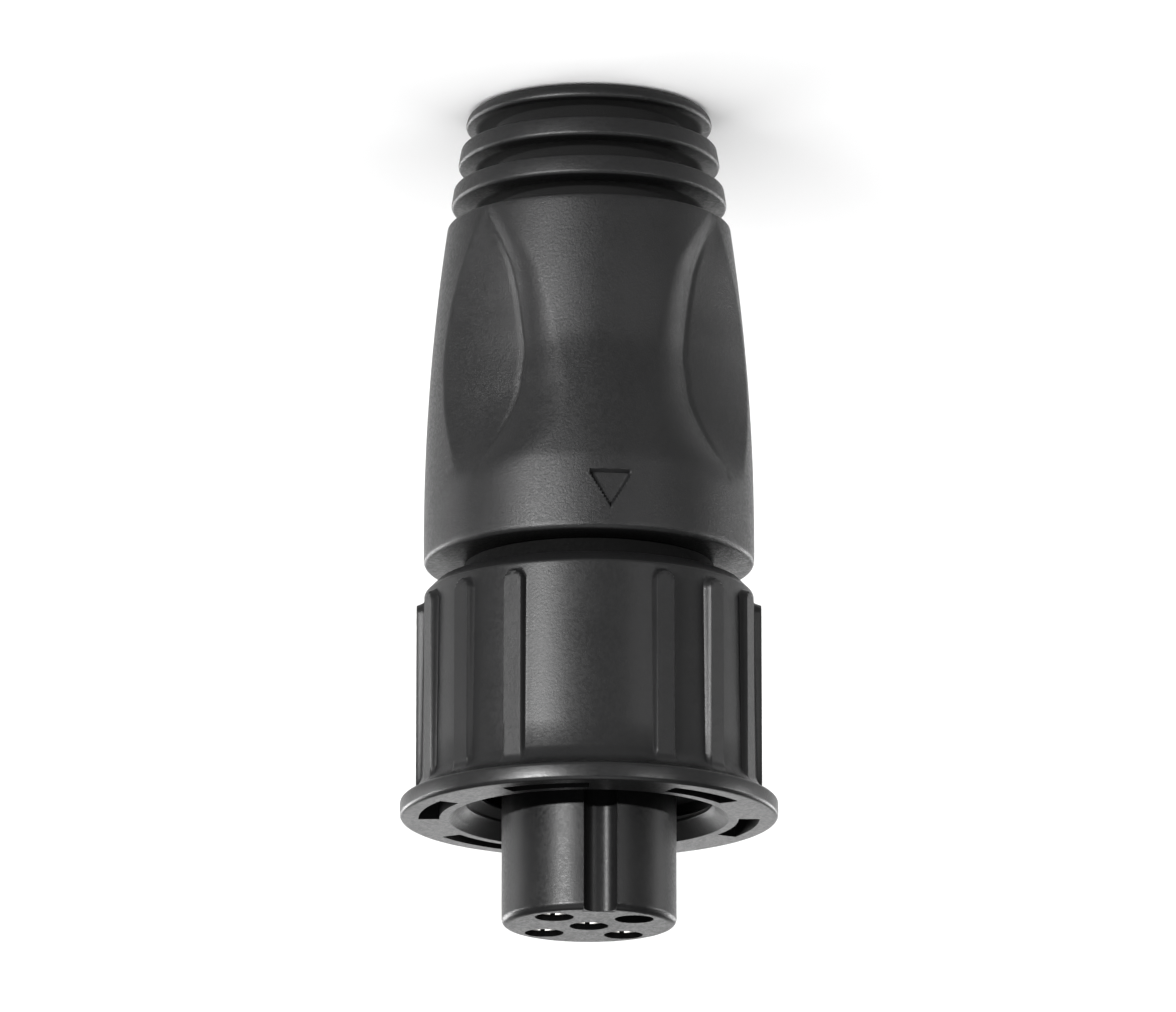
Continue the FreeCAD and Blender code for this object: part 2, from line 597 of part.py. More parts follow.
def make_nut():
    """Coupling nut: ribbed wall, flared flange with pockets, rear web, threaded bore."""
    body = new_body("coupling_nut")
    web_bore = "(dims.neck_radius + dims.nut_running_gap)"
    bevel = "dims.nut_rear_chamfer"
    flare_rear = f"({NUT_FRONT} - dims.flange_rim - dims.flange_flare)"
    flare_front = f"({NUT_FRONT} - dims.flange_rim)"
    flare_square = "(dims.flange_overhang^2 + dims.flange_flare^2)"
    flare_radius = f"({flare_square} / (8 * dims.flare_hollow) + dims.flare_hollow / 2)"
    corners = [
        (web_bore, NUT_REAR),
        (f"(dims.nut_rear_radius - {bevel})", NUT_REAR),
        ("dims.nut_rear_radius", f"({NUT_REAR} + {bevel})"),
        ("dims.nut_front_radius", flare_rear, flare_radius, "hollow"),
        (FLANGE_RADIUS, flare_front),
        (FLANGE_RADIUS, NUT_FRONT),
        (MOUTH_RADIUS, NUT_FRONT),
        ("dims.thread_radius", f"({NUT_FRONT} - dims.mouth_depth)"),
        ("dims.thread_radius", WEB_FRONT),
        (web_bore, WEB_FRONT),
    ]
    feature = revolve(body, "nut_form", corners)
    rim = [(FLANGE_RADIUS, flare_front), (FLANGE_RADIUS, NUT_FRONT)]
    round_rings(body, "rim_rounding", feature, "dims.flange_round", rim)

    rear, front = f"({NUT_REAR} + dims.rib_setback)", flare_front
    inside = "(dims.nut_rear_radius - dims.rib_root)"
    ribs = []
    for group in (0, 1):
        azimuth = f"({180 * group} + 90 - dims.rib_pitch * (dims.rib_count - 1) / 2)"
        sketch = side_sketch(body, f"rib_{group + 1}_outline", azimuth=azimuth, distance=inside)
        half = number("dims.rib_width") / 2
        low, high = number(rear) + half, number(front)
        left, right = FreeCAD.Vector(-half, low, 0), FreeCAD.Vector(half, low, 0)
        left_top, right_top = FreeCAD.Vector(-half, high, 0), FreeCAD.Vector(half, high, 0)
        end = Part.Circle(FreeCAD.Vector(0, low, 0), Z_AXIS, half)
        sketch.addGeometry(Part.ArcOfCircle(end, math.pi, 2 * math.pi), False)
        sketch.addGeometry(Part.LineSegment(right, right_top), False)
        sketch.addGeometry(Part.LineSegment(right_top, left_top), False)
        sketch.addGeometry(Part.LineSegment(left_top, left), False)
        for first, second in ((0, 1), (1, 2), (2, 3), (3, 0)):
            sketch.addConstraint(Sketcher.Constraint("Coincident", first, 2, second, 1))
        sketch.addConstraint(Sketcher.Constraint("Vertical", 1))
        sketch.addConstraint(Sketcher.Constraint("Horizontal", 2))
        sketch.addConstraint(Sketcher.Constraint("Vertical", 3))
        sketch.addConstraint(Sketcher.Constraint("PointOnObject", 0, 3, -2))
        sketch.addConstraint(Sketcher.Constraint("Horizontal", 0, 3, 0, 1))
        sketch.addConstraint(Sketcher.Constraint("Horizontal", 0, 3, 0, 2))
        measure(sketch, "Radius", 0, size="dims.rib_width / 2")
        measure(sketch, "DistanceY", -1, 1, 0, 3, size=f"{rear} + dims.rib_width / 2")
        measure(sketch, "DistanceY", -1, 1, 2, 1, size=front)
        rib = body.newObject("PartDesign::Pad", f"rib_{group + 1}")
        rib.Profile = sketch
        rib.setExpression("Length", f"dims.nut_front_radius + dims.rib_height - {inside}")
        doc.recompute()
        ribs.append(rib)
        polar(
            body, f"ribs_{group + 1}", [rib], "dims.rib_count",
            angle="dims.rib_pitch * (dims.rib_count - 1)",
        )

    sketch = side_sketch(body, "pocket_outline", azimuth="270 + dims.pocket_turn")
    floor, over = f"({NUT_FRONT} - dims.pocket_depth)", f"({NUT_FRONT} + dims.cut_overrun)"
    inner = f"({MOUTH_RADIUS} + dims.pocket_inner_wall)"
    outer = f"({FLANGE_RADIUS} - dims.pocket_outer_wall)"
    add_outline(sketch, [(inner, floor), (outer, floor), (outer, over), (inner, over)])
    before = body.Shape.Volume
    flange_pocket = groove(body, "flange_pocket", sketch, angle="dims.pocket_angle")
    check_cut(body, before)
    polar(body, "flange_pockets", [flange_pocket], "dims.pocket_count")
    body.Placement = FreeCAD.Placement(FreeCAD.Vector(), FreeCAD.Rotation(Z_AXIS, number("dims.nut_turn")))
    body.setExpression("Placement.Rotation.Angle", "dims.nut_turn")
    return body


def make_seal():
    """Rubber ring at the foot of the insert."""
    ring = doc.addObject("Part::Torus", "sealing_ring")
    bind(
        ring,
        Radius1=f"{SEAL_SEAT} + dims.seal_section / 2",
        Radius2="dims.seal_section / 2",
        Placement__Base__z=f"{STOP_FRONT} + dims.seal_section / 2",
    )
    return ring


def make_resistor():
    """Axial resistor: ceramic rod, two pressed caps, lacquer with end bells."""
    rod_rear = f"({RESISTOR_REAR} + dims.lacquer_end + dims.cap_wall)"
    rod_front = f"({RESISTOR_FRONT} - dims.lacquer_end - dims.cap_wall)"
    core = rod("resistor_core", "dims.ceramic_radius", f"{rod_front} - {rod_rear}", rod_rear)
    caps = []
    for name, inward, closed in (
        ("resistor_cap_rear", f"({rod_rear} + dims.cap_length)", f"({rod_rear} - dims.cap_wall)"),
        ("resistor_cap_front", f"({rod_front} - dims.cap_length)", f"({rod_front} + dims.cap_wall)"),
    ):
        body = new_body(name)
        seat = rod_rear if name.endswith("rear") else rod_front
        corners = [
            ("0", closed),
            (CAP_RADIUS, closed),
            (CAP_RADIUS, inward),
            ("dims.ceramic_radius", inward),
            ("dims.ceramic_radius", seat),
            ("0", seat),
        ]
        revolve(body, f"{name}_form", corners)
        caps.append(body)
    body = new_body("resistor_lacquer_blank")
    bell, waist = "dims.resistor_radius", "dims.resistor_waist"
    rear_bell = f"({RESISTOR_REAR} + dims.bell_length)"
    front_bell = f"({RESISTOR_FRONT} - dims.bell_length)"
    feature = revolve(
        body,
        "lacquer_form",
        [
            ("0", RESISTOR_REAR),
            (bell, RESISTOR_REAR),
            (bell, rear_bell),
            (waist, f"({rear_bell} + dims.bell_slope)"),
            (waist, f"({front_bell} - dims.bell_slope)"),
            (bell, front_bell),
            (bell, RESISTOR_FRONT),
            ("0", RESISTOR_FRONT),
        ],
    )
    ends = [(bell, RESISTOR_REAR), (bell, RESISTOR_FRONT)]
    round_rings(body, "bell_rounding", feature, "dims.bell_round", ends)
    return core, caps, body


def make_leads():
    """Short lead to the centre contact, hairpin lead to an outer one, and its sleeve."""
    cap_front = f"({RESISTOR_FRONT} - dims.lacquer_end)"
    cap_rear = f"({RESISTOR_REAR} + dims.lacquer_end)"
    short = rod("resistor_lead_short", "dims.lead_radius", f"{CUP_FLOOR} - {cap_front}", cap_front)
    down = rod("lead_down", "dims.lead_radius", f"{cap_rear} - {BEND_HEIGHT}", BEND_HEIGHT)
    bend = doc.addObject("Part::Torus", "lead_bend")
    bind(bend, Radius1=BEND_RADIUS, Radius2="dims.lead_radius", Angle3="180")
    place = CONTACTS[LONG_LEAD_CONTACT]
    azimuth = math.degrees(math.atan2(number(place[1]), number(place[0])))
    upright = FreeCAD.Rotation(X_AXIS, -90)
    bend.Placement.Rotation = FreeCAD.Rotation(Z_AXIS, azimuth) * upright
    bind(
        bend,
        Placement__Base__x=f"{place[0]} / 2",
        Placement__Base__y=f"{place[1]} / 2",
        Placement__Base__z=BEND_HEIGHT,
    )
    up = rod("lead_up", "dims.lead_radius", f"{CUP_FLOOR} - {BEND_HEIGHT}", BEND_HEIGHT, place)
    long = fuse("resistor_lead_long", [down, bend, up])
    sleeve_top = f"({CUP_REAR} - dims.sleeve_end_gap)"
    outer_radius = f"{SLEEVE_BORE} + dims.sleeve_wall"
    outer = rod("sleeve_outside", outer_radius, f"{sleeve_top} - {BEND_HEIGHT}", BEND_HEIGHT, place)
    inner = rod("sleeve_bore", SLEEVE_BORE, f"{sleeve_top} - {BEND_HEIGHT}", BEND_HEIGHT, place)
    sleeve = cut("lead_sleeve", outer, inner)
    return short, long, sleeve


def make_solder(name, place):
    """Solder that fills a cup round the lead."""
    body = new_body(name)
    corners = [
        ("dims.lead_radius", CUP_REAR),
        (CUP_RADIUS, CUP_REAR),
        (CUP_RADIUS, CUP_FLOOR),
        ("dims.lead_radius", CUP_FLOOR),
    ]
    revolve(body, f"{name}_form", corners)
    bind(body, Placement__Base__x=place[0], Placement__Base__y=place[1])
    return body


def make_core(buried):
    """Hard inner moulding that holds contacts and resistor, cast round all of them."""
    body = new_body("inner_mould_blank")
    corners = core_outline() + [("dims.collar_radius", COLLAR_FRONT), ("0", COLLAR_FRONT)]
    revolve(body, "core_form", corners)
    return cut("inner_mould", body, fuse("buried_pieces", buried))


grip = make_grip()
carrier = make_carrier()
contacts = [make_contact(name, place) for name, place in CONTACTS.items()]
nut = make_nut()
seal = make_seal()
ceramic, caps, lacquer_blank = make_resistor()
short_lead, long_lead, sleeve = make_leads()
short_solder = make_solder("solder_joint_centre", CONTACTS["socket_contact_centre"])
long_solder = make_solder("solder_joint_outer", CONTACTS[LONG_LEAD_CONTACT])
inside_lacquer = fuse("pieces_in_lacquer", [ceramic, *caps, short_lead, long_lead])
lacquer = cut("resistor_lacquer", lacquer_blank, inside_lacquer)
buried = [carrier, *contacts, lacquer_blank, short_lead, long_lead, sleeve, short_solder, long_solder]
core = make_core(buried)
doc.recompute()

nodes = [grip, core, carrier, *contacts, nut, seal, ceramic, *caps, lacquer]
nodes += [short_lead, long_lead, sleeve, short_solder, long_solder]

for item in doc.Objects:
    if "Invalid" in item.State or "Error" in item.State:
        raise ValueError(f"{item.Name} failed to build: {item.State}")
for node in nodes:
    shape = node.Shape
    if shape.isNull() or not shape.isValid() or len(shape.Solids) != 1:
        raise ValueError(f"{node.Label} is not one valid solid")

for node in nodes:
    node.Shape.exportStep(f"parts/{node.Label}.step")
    box = node.Shape.BoundBox
    print(
        f"{node.Label:28s} volume {node.Shape.Volume:9.3f}  z {box.ZMin:7.3f} to {box.ZMax:7.3f}"
        f"  x {box.XMin:7.3f} to {box.XMax:7.3f}"
    )
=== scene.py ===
"""Looks of the network terminator plug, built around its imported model. Metres.

The plug stands on its closed rear end with the mating face up. The keyway and the
triangle mark face -Y. The camera is rolled by half a turn, so the mating face is at
the bottom of the picture.
"""
import json
import math

import bpy
import numpy as np
from mathutils import Matrix, Vector


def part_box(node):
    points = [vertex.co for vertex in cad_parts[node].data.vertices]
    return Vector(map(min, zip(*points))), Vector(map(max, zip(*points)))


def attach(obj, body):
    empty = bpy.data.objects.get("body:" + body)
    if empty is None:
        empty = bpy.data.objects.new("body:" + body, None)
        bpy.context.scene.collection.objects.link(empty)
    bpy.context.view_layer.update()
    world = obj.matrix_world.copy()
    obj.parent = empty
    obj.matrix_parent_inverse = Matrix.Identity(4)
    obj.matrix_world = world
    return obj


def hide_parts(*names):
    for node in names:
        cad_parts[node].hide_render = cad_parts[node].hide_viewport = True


MM = 0.001
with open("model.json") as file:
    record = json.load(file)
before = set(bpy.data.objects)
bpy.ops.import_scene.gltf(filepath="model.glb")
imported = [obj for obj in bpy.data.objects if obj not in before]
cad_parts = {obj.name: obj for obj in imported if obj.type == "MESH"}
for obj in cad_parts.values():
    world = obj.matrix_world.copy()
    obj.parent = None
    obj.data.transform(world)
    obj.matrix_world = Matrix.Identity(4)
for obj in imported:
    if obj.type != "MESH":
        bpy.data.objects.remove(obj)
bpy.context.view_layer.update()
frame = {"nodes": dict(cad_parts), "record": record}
nodes = frame["nodes"]


def height_range(node):
    """Lowest and highest point of a node, in millimetres."""
    low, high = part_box(node)
    return low.z / MM, high.z / MM


# Sizes in millimetres, read from the frame where it has them
GRIP_LENGTH = height_range("grip_overmould")[1]
CORE_REAR = height_range("inner_mould")[0]
NUT_REAR, NUT_FRONT = height_range("coupling_nut")
FLANGE_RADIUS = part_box("coupling_nut")[1].x / MM
INSERT_FACE = height_range("contact_carrier")[1]

GRIP_REAR_RADIUS = 5.95
GRIP_FRONT_RADIUS = 8.08
GRIP_CURVE_RADIUS = 110.0
GRIP_REAR_ROUND = 0.5
GRIP_FRONT_ROUND = 0.25
GROOVE_FIRST = 0.8
GROOVE_WIDTH = 1.02
GROOVE_PITCH = 2.05
GROOVE_FLOOR = 4.6
GROOVE_COUNT = 3
GROOVE_REAR_ROUND, GROOVE_FRONT_ROUND = 0.22, 0.13
COLLAR_RADIUS = 6.1
COLLAR_REAR = GRIP_LENGTH - 4.6
CORE_RADIUS = 3.7
CORE_RING_RADIUS = 4.3
CORE_RING_START = 2.8
CORE_RING_WIDTH = 1.1
CORE_RING_PITCH = 2.6
CORE_RING_COUNT = 4

# Thumb scoops, each side of the front and back middle lines, as sections along the grip:
# height, then degrees from the middle line to the shoulder, the sharp inner rim and the
# outer edge, then the depth at the inner rim
SCOOP_SECTIONS = (
    (6.0, 50.0, 54.0, 55.0, 0.0),
    (7.0, 42.0, 49.5, 58.0, 0.2),
    (9.0, 29.0, 41.5, 67.0, 0.6),
    (11.0, 24.0, 38.0, 72.5, 0.9),
    (13.6, 19.0, 35.0, 74.5, 1.1),
    (16.0, 15.0, 37.0, 71.0, 1.05),
    (17.5, 17.0, 42.0, 67.0, 0.75),
    (18.5, 22.0, 46.0, 64.0, 0.4),
    (19.4, 30.0, 51.0, 60.0, 0.0),
)
SECTION_BLEND = 0.6
SHOULDER_POWER = 1.4
SCOOP_EDGE_SOFTNESS = 0.05
SCOOP_LIP = 0.06
SCOOP_LIP_WIDTH = 0.35
SCOOP_STEP = 0.85

# Shallow dish between the scoops, on front and back
DISH_START, DISH_STOP = 6.1, 19.3
DISH_BOTTOM = 13.3
DISH_DEPTH = 0.62

# Triangle mark on the front of the grip
MARK_TIP = GRIP_LENGTH - 1.1
MARK_HEIGHT = 1.75
MARK_WIDTH = 2.1
MARK_DEPTH = 0.22
MARK_EDGE = 0.05

# Coupling nut
NUT_TURN = 7.5
NUT_REAR_RADIUS, NUT_FRONT_RADIUS = 8.05, 8.16
NUT_CHAMFER = 0.55
NUT_BORE = 6.0
WEB_BORE = 4.95
WEB_FRONT = NUT_REAR + 1.7
FLANGE_RIM = 0.85
FLANGE_FLARE = 1.1
FLARE_HOLLOW = 0.227
RIM_ROUND = 0.2
MOUTH_RADIUS = 6.8
MOUTH_DEPTH = 0.75
MOUTH_STEP = 0.3
RIB_WIDTH = 1.15
RIB_RADIUS = 8.42
RIB_START = NUT_REAR + 0.85
RIB_PITCH = 21.3
RIB_COUNT = 7
POCKET_INNER, POCKET_OUTER = 7.3, 8.25
POCKET_DEPTH = 1.5
POCKET_ANGLE = 30.0
POCKET_COUNT = 6
POCKET_TURN = 15.0

THREAD_PITCH = 1.0
THREAD_CREST = 5.46
THREAD_START, THREAD_STOP = NUT_REAR + 3.2, NUT_FRONT - 0.9
THREAD_STEPS = 96

# Insert and its keyway, which the rounds are let into by the overlap
INSERT_RADIUS = 4.25
INSERT_ROUND = 0.35
KEYWAY_WIDTH = 1.6
KEYWAY_FLOOR = 3.5
KEYWAY_ROUND = 0.72
KEYWAY_START = 29.12
KEYWAY_SEGMENTS = 10
KEYWAY_OVERLAP = 0.02


def smoothstep(low, high, value):
    share = np.clip((value - low) / (high - low), 0.0, 1.0)
    return share * share * (3.0 - 2.0 * share)


def positive(value, softness):
    """Positive part of a value, with a soft corner at zero."""
    return 0.5 * (value + np.sqrt(value * value + softness * softness))


def round_corners(corners):
    """Outline through corners given as (radius, height, rounding, segments)."""
    points = []
    count = len(corners)
    for index, corner in enumerate(corners):
        here = np.array(corner[:2])
        rounding = corner[2] if len(corner) > 2 else 0.0
        if rounding == 0.0 or index in (0, count - 1):
            points.append(here)
            continue
        before = np.array(corners[index - 1][:2]) - here
        after = np.array(corners[index + 1][:2]) - here
        before /= np.linalg.norm(before)
        after /= np.linalg.norm(after)
        half = math.acos(np.clip(before @ after, -1.0, 1.0)) / 2
        middle = (before + after) / np.linalg.norm(before + after)
        centre = here + middle * rounding / math.sin(half)
        first = here + before * rounding / math.tan(half) - centre
        last = here + after * rounding / math.tan(half) - centre
        start = math.atan2(first[1], first[0])
        sweep = math.atan2(last[1], last[0]) - start
        sweep = (sweep + math.pi) % (2 * math.pi) - math.pi
        segments = corner[3] if len(corner) > 3 else 4
        for step in range(segments + 1):
            angle = start + sweep * step / segments
            points.append(centre + rounding * np.array([math.cos(angle), math.sin(angle)]))
    return np.array(points)


def subdivide(points, spacing):
    """Adds points so that no span is longer than spacing(middle of the span)."""
    result = [points[0]]
    for start, stop in zip(points[:-1], points[1:]):
        length = np.linalg.norm(stop - start)
        parts = max(1, math.ceil(length / spacing((start + stop) / 2) - 1e-6))
        for part in range(1, parts + 1):
            result.append(start + (stop - start) * part / parts)
    return np.array(result)


def angle_steps(fine, coarse):
    """Angles round the axis in degrees: the fine ones, with coarse steps between them."""
    fine = sorted(set(round(angle % 360.0, 4) for angle in fine))
    angles = []
    for index, start in enumerate(fine):
        stop = fine[(index + 1) % len(fine)]
        gap = (stop - start) % 360.0 or 360.0
        parts = max(1, math.ceil(gap / coarse - 1e-6))
        angles += [start + gap * part / parts for part in range(parts)]
    return np.radians(np.array(angles))


def turned_mesh(name, radius, height, angles, closed=False):
    """Mesh from rows of rings: radius and height are (rows, angles) arrays in millimetres.

    A first or last row of radius zero becomes one point. closed joins last row to first.
    """
    rows, columns = radius.shape
    coordinates = np.stack([radius * np.cos(angles), radius * np.sin(angles), height], axis=2)
    vertices, row_ids = [], []
    for row in range(rows):
        if np.all(radius[row] < 1e-6):
            row_ids.append([len(vertices)] * columns)
            vertices.append(coordinates[row, 0])
        else:
            row_ids.append(list(range(len(vertices), len(vertices) + columns)))
            vertices.extend(coordinates[row])
    faces = []
    pairs = list(zip(range(rows - 1), range(1, rows)))
    if closed:
        pairs.append((rows - 1, 0))
    for low, high in pairs:
        for column in range(columns):
            after = (column + 1) % columns
            quad = [row_ids[low][column], row_ids[low][after]]
            quad += [row_ids[high][after], row_ids[high][column]]
            faces.append([vertex for index, vertex in enumerate(quad) if vertex != quad[index - 1]])
    mesh = bpy.data.meshes.new(name)
    mesh.from_pydata([Vector(vertex) * MM for vertex in vertices], [], faces)
    mesh.validate()
    for polygon in mesh.polygons:
        polygon.use_smooth = True
    return mesh


def add_object(name, mesh, body, material, sharp=None, replaces=None):
    """Links a mesh as a piece that rides on a body."""
    if sharp is not None:
        mesh.set_sharp_from_angle(angle=math.radians(sharp))
    piece = bpy.data.objects.new(name, mesh)
    bpy.context.scene.collection.objects.link(piece)
    piece.data.materials.append(material)
    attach(piece, body)
    if replaces:
        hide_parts(replaces)
    return piece


# Materials: small node graphs in object coordinates


class Graph:
    """Short way to build a material's nodes."""

    def __init__(self, name):
        self.material = bpy.data.materials.new(name)
        self.material.use_nodes = True
        self.tree = self.material.node_tree
        self.shader = self.tree.nodes["Principled BSDF"]
        self.place = self.tree.nodes.new("ShaderNodeTexCoord").outputs["Object"]

    def link(self, source, target):
        self.tree.links.new(source, target)

    def noise(self, cell, detail=3.0, roughness=0.55, stretch=None):
        """Noise whose cells are about this many millimetres across."""
        place = self.place
        if stretch:
            mapping = self.tree.nodes.new("ShaderNodeMapping")
            mapping.inputs["Scale"].default_value = stretch
            self.link(place, mapping.inputs["Vector"])
            place = mapping.outputs["Vector"]
        node = self.tree.nodes.new("ShaderNodeTexNoise")
        node.inputs["Scale"].default_value = 1.0 / (cell * MM)
        node.inputs["Detail"].default_value = detail
        node.inputs["Roughness"].default_value = roughness
        self.link(place, node.inputs["Vector"])
        return node.outputs["Fac"]

    def specks(self, cell):
        """A random value for each cell of about this many millimetres."""
        node = self.tree.nodes.new("ShaderNodeTexVoronoi")
        node.inputs["Scale"].default_value = 1.0 / (cell * MM)
        self.link(self.place, node.inputs["Vector"])
        return node.outputs["Color"]

    def ramp(self, value, stops):
        node = self.tree.nodes.new("ShaderNodeValToRGB")
        elements = node.color_ramp.elements
        while len(elements) < len(stops):
            elements.new(0.5)
        for element, (position, colour) in zip(elements, stops):
            element.position = position
            element.color = (*colour, 1.0) if isinstance(colour, tuple) else (colour,) * 3 + (1.0,)
        self.link(value, node.inputs["Fac"])
        return node.outputs["Color"]

    def within(self, radius):
        """1 nearer the axis than this many millimetres, 0 beyond."""
        flat = self.tree.nodes.new("ShaderNodeVectorMath")
        flat.operation = "MULTIPLY"
        flat.inputs[1].default_value = (1.0, 1.0, 0.0)
        self.link(self.place, flat.inputs[0])
        length = self.tree.nodes.new("ShaderNodeVectorMath")
        length.operation = "LENGTH"
        self.link(flat.outputs["Vector"], length.inputs[0])
        edge = self.tree.nodes.new("ShaderNodeMapRange")
        edge.inputs["From Min"].default_value = (radius - 0.15) * MM
        edge.inputs["From Max"].default_value = (radius + 0.15) * MM
        edge.inputs["To Min"].default_value = 1.0
        edge.inputs["To Max"].default_value = 0.0
        self.link(length.outputs["Value"], edge.inputs["Value"])
        return edge.outputs["Result"]

    def blend(self, colour, grey, share):
        """Colour that turns to a grey where share is 1."""
        node = self.tree.nodes.new("ShaderNodeMix")
        node.data_type = "RGBA"
        self.link(share, node.inputs["Factor"])
        self.link(colour, node.inputs["A"])
        node.inputs["B"].default_value = (grey, grey, grey, 1.0)
        return node.outputs["Result"]

    def mix(self, first, second, share):
        node = self.tree.nodes.new("ShaderNodeMix")
        node.data_type = "FLOAT"
        node.inputs["Factor"].default_value = share
        self.link(first, node.inputs["A"])
        self.link(second, node.inputs["B"])
        return node.outputs["Result"]

    def bump(self, height, depth):
        """Bump of this many millimetres."""
        node = self.tree.nodes.new("ShaderNodeBump")
        node.inputs["Distance"].default_value = depth * MM
        node.inputs["Strength"].default_value = 1.0
        self.link(height, node.inputs["Height"])
        return node.outputs["Normal"]

    def set(self, **values):
        for key, value in values.items():
            self.shader.inputs[key.replace("_", " ")].default_value = value


def black_plastic(name, tone, roughness, grain, grain_depth, specular, painted_shade_radius=None):
    """Moulded black plastic: grain in the bump, with cloudy gloss and colour.

    The last argument is a radius in millimetres: nearer the axis than that, in the grooves' floors, the
    surface is matte and its colour is darkened almost to black, which is painted shade.
    """
    graph = Graph(name)
    cloud = graph.noise(2.6, detail=2.0)
    fine = graph.noise(grain, detail=5.0, roughness=0.75)
    low, high = roughness
    specks = graph.specks(grain)
    gloss = graph.ramp(graph.mix(cloud, specks, 0.7), [(0.3, low), (0.7, high)])
    darker = tuple(channel * 0.75 for channel in tone)
    lighter = tuple(channel * 1.3 for channel in tone)
    colour = graph.ramp(graph.mix(cloud, fine, 0.35), [(0.25, darker), (0.8, lighter)])
    # Painted shade: nearer the axis than the given radius, in the grooves' floors, the colour is darkened
    # almost to black; the roughness is raised there too.
    if painted_shade_radius:
        inside = graph.within(painted_shade_radius)
        gloss = graph.blend(gloss, 0.95, inside)
        colour = graph.blend(colour, 0.0006, inside)
    graph.link(gloss, graph.shader.inputs["Roughness"])
    graph.link(colour, graph.shader.inputs["Base Color"])
    graph.link(graph.bump(fine, grain_depth), graph.shader.inputs["Normal"])
    graph.set(IOR=1.5)
    graph.shader.inputs["Specular IOR Level"].default_value = specular
    return graph.material


def metal(name, colour, roughness, grain=0.12, depth=0.004):
    """Drawn or plated metal with fine marks."""
    graph = Graph(name)
    marks = graph.noise(grain, detail=3.0, stretch=(1.0, 1.0, 0.25))
    cloud = graph.noise(0.9, detail=2.0)
    low, high = roughness
    graph.link(graph.ramp(graph.mix(cloud, marks, 0.5), [(0.3, low), (0.7, high)]),
               graph.shader.inputs["Roughness"])
    darker = tuple(channel * 0.8 for channel in colour)
    graph.link(graph.ramp(cloud, [(0.3, darker), (0.7, colour)]), graph.shader.inputs["Base Color"])
    graph.link(graph.bump(marks, depth), graph.shader.inputs["Normal"])
    graph.set(Metallic=1.0)
    return graph.material


def plain(name, colour, roughness, grain=0.4, depth=0.01, variation=0.15):
    """Ceramic, lacquer, rubber or tube: even colour with slight clouds and bump."""
    graph = Graph(name)
    cloud = graph.noise(grain, detail=3.0)
    low = tuple(channel * (1.0 - variation) for channel in colour)
    high = tuple(min(1.0, channel * (1.0 + variation)) for channel in colour)
    graph.link(graph.ramp(cloud, [(0.3, low), (0.7, high)]), graph.shader.inputs["Base Color"])
    first, last = roughness
    graph.link(graph.ramp(cloud, [(0.3, first), (0.7, last)]), graph.shader.inputs["Roughness"])
    graph.link(graph.bump(cloud, depth), graph.shader.inputs["Normal"])
    return graph.material


GRIP_TONE = (0.0026, 0.0026, 0.0027)
NUT_TONE = (0.003, 0.003, 0.0031)
INSERT_TONE = (0.0026, 0.0026, 0.0027)
CORE_TONE = (0.001, 0.001, 0.001)
# The grip's groove floors, inside 5.5 mm of the axis, get painted shade: their colour is darkened almost
# to black.
grip_plastic = black_plastic("grip_soft_plastic", GRIP_TONE, (0.32, 0.44), 0.12, 0.019, 0.15, painted_shade_radius=5.5)
nut_plastic = black_plastic("nut_plastic", NUT_TONE, (0.31, 0.38), 0.14, 0.007, 0.145)
insert_plastic = black_plastic("insert_plastic", INSERT_TONE, (0.32, 0.42), 0.14, 0.006, 0.12)
core_plastic = black_plastic("inner_mould_plastic", CORE_TONE, (0.85, 0.95), 0.14, 0.005, 0.04)
contact_metal = metal("plated_contact", (0.9, 0.88, 0.84), (0.3, 0.45))
rubber = plain("seal_rubber", (0.012, 0.012, 0.012), (0.4, 0.55))
ceramic = plain("ceramic", (0.85, 0.84, 0.8), (0.3, 0.45))
cap_metal = metal("cap_steel", (0.66, 0.66, 0.66), (0.28, 0.42))
lacquer = plain("resistor_lacquer", (0.2, 0.42, 0.5), (0.12, 0.22))
wire = metal("tinned_wire", (0.72, 0.72, 0.72), (0.25, 0.4))
tube = plain("sleeve_plastic", (0.03, 0.03, 0.03), (0.35, 0.5))
solder = metal("solder", (0.66, 0.66, 0.67), (0.2, 0.35), grain=0.3, depth=0.02)

SLOT_MATERIALS = {
    "grip_soft_plastic": grip_plastic,
    "inner_mould_plastic": core_plastic,
    "insert_plastic": insert_plastic,
    "nut_plastic": nut_plastic,
    "plated_contact": contact_metal,
    "seal_rubber": rubber,
    "ceramic": ceramic,
    "cap_steel": cap_metal,
    "resistor_lacquer": lacquer,
    "tinned_wire": wire,
    "sleeve_plastic": tube,
    "solder": solder,
}
for part in frame["record"]["subparts"]:
    data = nodes[part["node"]].data
    data.materials.clear()
    data.materials.append(SLOT_MATERIALS[part["material_slot"]])


# Grip


def grip_side(height):
    """Radius of the grip's side line, an arc, at a height."""
    lean = GRIP_FRONT_RADIUS - GRIP_REAR_RADIUS
    chord = math.hypot(lean, GRIP_LENGTH)
    reach = math.sqrt(GRIP_CURVE_RADIUS**2 - (chord / 2) ** 2) / chord
    centre_radius = (GRIP_REAR_RADIUS + GRIP_FRONT_RADIUS) / 2 - reach * GRIP_LENGTH
    centre_height = GRIP_LENGTH / 2 + reach * lean
    return centre_radius + np.sqrt(GRIP_CURVE_RADIUS**2 - (height - centre_height) ** 2)


def section_value(height, column):
    """Value of one column of SCOOP_SECTIONS at a height, blended along the grip."""
    stations = [section[0] for section in SCOOP_SECTIONS]
    values = [section[column] for section in SCOOP_SECTIONS]
    shifts = np.linspace(-SECTION_BLEND, SECTION_BLEND, 9)
    return sum(np.interp(height + shift, stations, values) for shift in shifts) / len(shifts)


def dish(height):
    """Depth of the shallow dish between two scoops."""
    rear = (height - DISH_START) / (DISH_BOTTOM - DISH_START)
    front = (DISH_STOP - height) / (DISH_STOP - DISH_BOTTOM)
    along = rear - positive(rear - front, 0.25)
    return DISH_DEPTH * positive(along, 0.03)


